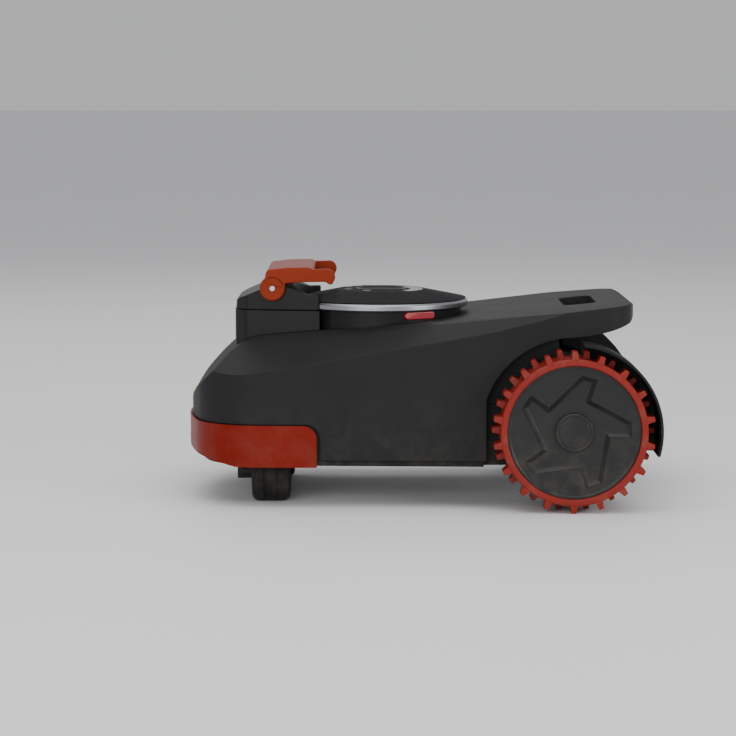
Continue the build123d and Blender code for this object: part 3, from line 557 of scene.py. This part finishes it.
def star_cutter(centre, face, side):
    """Cutter for the pocket, with walls that slope down to its floor."""
    tool = drawn("star", star_points(centre, face))
    edit(tool)
    bpy.ops.mesh.edge_face_add()
    bpy.ops.mesh.select_all(action="SELECT")
    bpy.ops.mesh.extrude_region_move(TRANSFORM_OT_translate={"value": (0, -side * POCKET, 0)})
    bpy.ops.mesh.inset(thickness=WALL_RUN, use_even_offset=True)
    bpy.ops.mesh.select_mode(type="VERT")
    bpy.ops.object.mode_set(mode="OBJECT")
    rims = [vertex for vertex in tool.data.vertices if not vertex.select]
    for vertex in rims:
        deep = abs(vertex.co.y - face) > POCKET / 2
        vertex.co.y = face if deep else face + side * CUTTER_PROUD
    outwards(tool)
    return tool


def wheel_hub(name):
    """Dark hub disc with a rim lip and the five-toothed pocket in its face."""
    node = f"wheel_hub_{name}"
    side = SIDES[name]
    low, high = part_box(node)
    centre = middle(node)
    rim = (high.z - low.z) / 2 - 0.1 * MM
    face = (high.y if side > 0 else low.y) - centre.y
    back = -face
    lip = face + side * 0.6 * MM
    web = face - side * 16 * MM
    dish = face - side * 0.4 * MM
    boss = 14 * MM
    section = [(0, back), (boss, back), (boss, web), (rim - 5 * MM, web), (rim - 5 * MM, back), (rim, back),
               (rim, lip), (rim - 2.4 * MM, lip), (rim - 3.6 * MM, dish), (0, dish)]
    disc = lathed("disc", section, "y", centre, 120)
    disc = cut(disc, star_cutter(centre, centre.y + dish, side))
    return stands_for(softened(disc, 0.45 * MM, 3, 20), node)


def hub_cap(name):
    """Centre cap with a shallow ring groove and a crowned middle."""
    node = f"hub_cap_{name}"
    side = SIDES[name]
    low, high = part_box(node)
    centre = middle(node)
    radius = (high.z - low.z) / 2
    top = (high.y - low.y) / 2
    land = top - 0.2 * MM
    groove = top - 0.9 * MM
    section = [(0, -top), (radius, -top), (radius, top - 1.2 * MM), (radius - 1.2 * MM, land),
               (radius - 3.0 * MM, land), (radius - 3.6 * MM, groove), (radius - 4.6 * MM, groove),
               (radius - 5.2 * MM, land), (radius * 0.45, top), (0, top)]
    cap = lathed("cap", [(r, side * y) for r, y in section], "y", centre, 96)
    return stands_for(softened(cap, 0.25 * MM, 2, 25), node)


# ---- bumper --------------------------------------------------------------------------------
BUMPER_WALL = 2.6 * MM
POST_R = 4.0 * MM
POST_Y = 45 * MM
POST_Z = 72 * MM
POST_SINK = 5 * MM
WING_START = 60 * MM
NOSE_START = 200 * MM


def merged_copy(node):
    """A copy of a CAD node as one mesh, with its doubles merged and its flat faces joined."""
    piece = bpy.data.objects.new(node, NODES[node].data.copy())
    bpy.context.scene.collection.objects.link(piece)
    edit(piece)
    bpy.ops.mesh.customdata_custom_splitnormals_clear()
    bpy.ops.mesh.remove_doubles(threshold=COPIED_GAP)
    bpy.ops.mesh.dissolve_limited(angle_limit=math.radians(FLAT_DEGREES))
    bpy.ops.mesh.select_all(action="DESELECT")
    bpy.ops.object.mode_set(mode="OBJECT")
    return piece


def outer_band(face):
    """True for an upright face on the outside of the bumper."""
    place = face.center
    out = face.normal
    side = abs(out.y) > 0.5 and out.y * place.y > 0 and abs(place.y) > WING_START
    nose = out.x > 0.5 and place.x > NOSE_START
    return abs(out.z) < 0.05 and (side or nose)


def front_bumper():
    """Orange wrap-around band with rounded edges, and its two guide posts."""
    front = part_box("front_bumper")[1].x
    corners = [vertex.co for vertex in NODES["front_bumper"].data.vertices]
    post_end = min(place.x for place in corners if abs(abs(place.y) - POST_Y) < POST_R)
    skin = merged_copy("front_bumper")
    pick_faces(skin, lambda face: not outer_band(face))
    bpy.ops.mesh.delete(type="FACE")
    bpy.ops.object.mode_set(mode="OBJECT")
    thick = skin.modifiers.new("wall", "SOLIDIFY")
    thick.thickness = BUMPER_WALL
    thick.offset = -1
    thick.use_even_offset = True
    bpy.ops.object.modifier_apply(modifier=thick.name)
    outwards(skin)
    pieces = [softened(skin, 0.8 * MM, 3, 40)]
    back = (post_end - front) + 3 * MM
    for y in (-POST_Y, POST_Y):
        post = [(0, back), (POST_R - 0.8 * MM, back), (POST_R, back + 0.8 * MM), (POST_R, 0), (0, 0)]
        pieces.append(lathed("post", post, "x", (front - POST_SINK, y, POST_Z), 32))
    return stands_for(joined("bumper", pieces), "front_bumper")


# ---- casters -------------------------------------------------------------------------------
def caster_wheel(name):
    """Wide front roller with a crowned tread, two grooves and dished sides."""
    node = f"caster_wheel_{name}"
    low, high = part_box(node)
    centre = middle(node)
    radius = (high.z - low.z) / 2
    half = (high.x - low.x) / 2
    bore = 5.05 * MM
    groove = radius - 1.4 * MM
    right = [(bore, half - 5 * MM), (12 * MM, half - 5 * MM), (13 * MM, half - 1 * MM),
             (22 * MM, half - 1 * MM), (24 * MM, half - 4 * MM), (radius - 8 * MM, half - 4 * MM),
             (radius - 6 * MM, half), (radius - 3.4 * MM, half - 1.0 * MM),
             (radius - 1.2 * MM, half - 3.4 * MM), (radius, half - 7 * MM), (radius, 9 * MM),
             (groove, 8 * MM), (groove, 6.5 * MM), (radius, 5.5 * MM)]
    section = right + [(r, -x) for r, x in reversed(right)] + [right[0]]
    return stands_for(softened(lathed(node, section, "x", centre, 96), 0.5 * MM, 2, 28), node)


# ---- turret --------------------------------------------------------------------------------
def turret_ring():
    """Bright trim ring with a chamfered upper edge and a shadow groove below."""
    low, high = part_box("turret_ring")
    centre = middle("turret_ring")
    radius = (high.x - low.x) / 2
    inner = radius - 14 * MM
    half = (high.z - low.z) / 2
    section = [(inner, -half), (radius - 3 * MM, -half), (radius - 2.6 * MM, -half + 1.0 * MM),
               (radius - 0.5 * MM, -half + 1.2 * MM), (radius, -half + 2.0 * MM),
               (radius, half - 3.4 * MM), (radius - 1.2 * MM, half - 1.6 * MM),
               (radius - 4.0 * MM, half), (inner, half), (inner, -half)]
    return stands_for(softened(lathed("ring", section, "z", centre, 192), 0.4 * MM, 3, 15), "turret_ring")


SCALLOPS = 30
SCALLOP_R = 1.5 * MM
SCALLOP_OUT = 0.6 * MM


def height_knob():
    """Flat knob with a scalloped rim and a finger bar across its dish."""
    low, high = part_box("height_knob")
    centre = middle("height_knob")
    radius = (high.x - low.x) / 2
    half = (high.z - low.z) / 2
    dish = -half + 1.6 * MM
    section = [(0, -half), (radius - 0.6 * MM, -half), (radius, -half + 0.6 * MM),
               (radius, half - 1.0 * MM), (radius - 1.0 * MM, half), (radius - 3.4 * MM, half),
               (radius - 5.0 * MM, dish), (0, dish)]
    knob = lathed("knob", section, "z", centre, 120)
    tools = []
    for index in range(SCALLOPS):
        turn = 2 * math.pi * index / SCALLOPS
        place = centre + Vector((math.cos(turn), math.sin(turn), 0)) * (radius + SCALLOP_OUT)
        bpy.ops.object.select_all(action="DESELECT")
        bpy.ops.mesh.primitive_cylinder_add(vertices=16, radius=SCALLOP_R, depth=half * 3, location=place)
        bpy.ops.object.transform_apply(location=True, rotation=True, scale=True)
        tools.append(bpy.context.object)
    knob = softened(cut(knob, joined("scallops", tools)), 0.25 * MM, 2, 25)
    bpy.ops.object.select_all(action="DESELECT")
    size = (2 * radius - 8 * MM, 9 * MM, 2 * half - 0.6 * MM)
    bpy.ops.mesh.primitive_cube_add(size=1, location=centre, scale=size)
    bar = bpy.context.object
    bpy.ops.object.transform_apply(location=True, rotation=True, scale=True)
    return stands_for(joined("knob", [knob, softened(bar, 1.2 * MM, 4)]), "height_knob")


# ---- yoke ----------------------------------------------------------------------------------
def arc_points(x, z, radius, start, end, steps):
    """Points on an arc in X and Z, angles in degrees."""
    turns = [math.radians(start + (end - start) * i / steps) for i in range(steps + 1)]
    return [(x + radius * math.cos(t), z + radius * math.sin(t)) for t in turns]


BOSS_R = 14.6 * MM
BOSS_BORE_R = 3.05 * MM
ARM_THICK = 5.0 * MM


def beside(x, z, points):
    """Points in millimetres beside a place, as places in X and Z."""
    return [(x + dx * MM, z + dz * MM) for dx, dz in points]


def yoke():
    """Orange yoke: round bosses, hooked arms and the plate that joins them."""
    low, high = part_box("yoke")
    pin_low, pin_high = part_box("yoke_pins")
    px = (pin_low.x + pin_high.x) / 2
    pz = (pin_low.z + pin_high.z) / 2
    outline = beside(px, pz, [(8, 6), (8, 17), (5, 20.5), (-4, 21.5), (-58, 22.5)])
    outline += arc_points(px - 64 * MM, pz + 13.5 * MM, 9.4 * MM, 80, 215, 10)
    outline += beside(px, pz, [(-70, 4.5), (-66, 4.6), (-62, 7.5), (-30, 7.0), (-16, 6), (-12, 0)])
    pieces = []
    for side in (1, -1):
        y1 = high.y if side > 0 else low.y
        y0 = y1 - side * ARM_THICK
        pieces.append(softened(plate("arm", outline, y0, y1), 1.3 * MM, 4, 25))
        mid = Vector((px, (y0 + y1) / 2, pz))
        half = ARM_THICK / 2
        dish = half - 0.5 * MM
        section = [(BOSS_BORE_R, -half), (BOSS_R, -half), (BOSS_R, half - 1.2 * MM),
                   (BOSS_R - 1.2 * MM, half), (BOSS_R - 2.6 * MM, half), (BOSS_R - 3.2 * MM, dish),
                   (3.6 * MM, dish), (BOSS_BORE_R, half - 0.9 * MM), (BOSS_BORE_R, -half)]
        boss = lathed("boss", [(r, side * y) for r, y in section], "y", mid, 72)
        pieces.append(softened(boss, 0.35 * MM, 2, 25))
    bridge = beside(px, pz, [(8, 15), (7.5, 19), (4, 21.8), (-18, 24.2), (-42, 24.6), (-47.5, 22.6),
                             (-49, 18), (-4, 16.5)])
    pieces.append(softened(plate("bridge", bridge, low.y + 0.2 * MM, high.y - 0.2 * MM), 1.4 * MM, 4, 25))
    return stands_for(joined("yoke", pieces), "yoke")


# ---- build ---------------------------------------------------------------------------------
set_camera()
set_lights()
for name in SIDES:
    tyre(name)
    wheel_hub(name)
    hub_cap(name)
    caster_wheel(name)
turret_ring()
height_knob()
yoke()
front_bumper()
# bevel widths, in millimetres, of the pieces that keep the outline of their CAD node
REFINED = {
    "upper_shell": 0.9, "chassis_tub": 0.6, "rear_housing": 1.2, "turret_neck": 0.5, "turret_cap": 0.8,
    "pod_base": 0.7, "pod_cover": 1.4, "camera_window": 0.6, "mudguard_left": 0.9,
    "mudguard_right": 0.9, "stop_pad_left": 1.0, "stop_pad_right": 1.0, "caster_bracket_left": 0.8,
    "caster_bracket_right": 0.8, "cutter_carriage": 0.6, "cutting_disc": 0.4, "skid_plate": 0.8,
    "battery_door": 0.5, "battery_pack": 2.0, "blade_1": 0.15, "blade_2": 0.15, "blade_3": 0.15,
    "control_button_1": 0.5, "control_button_2": 0.5, "control_button_3": 0.5, "control_button_4": 0.5,
    "charging_contacts": 1.0, "display_window": 0.2, "case_screws": 0.4, "drive_motors": 1.0,
}
for node, width in REFINED.items():
    refined(node, width * MM, node.startswith("caster_bracket"))
for node, piece in NODES.items():
    piece.data.materials.clear()
    piece.data.materials.append(FINISHES[SLOTS[node]])
set_floor()
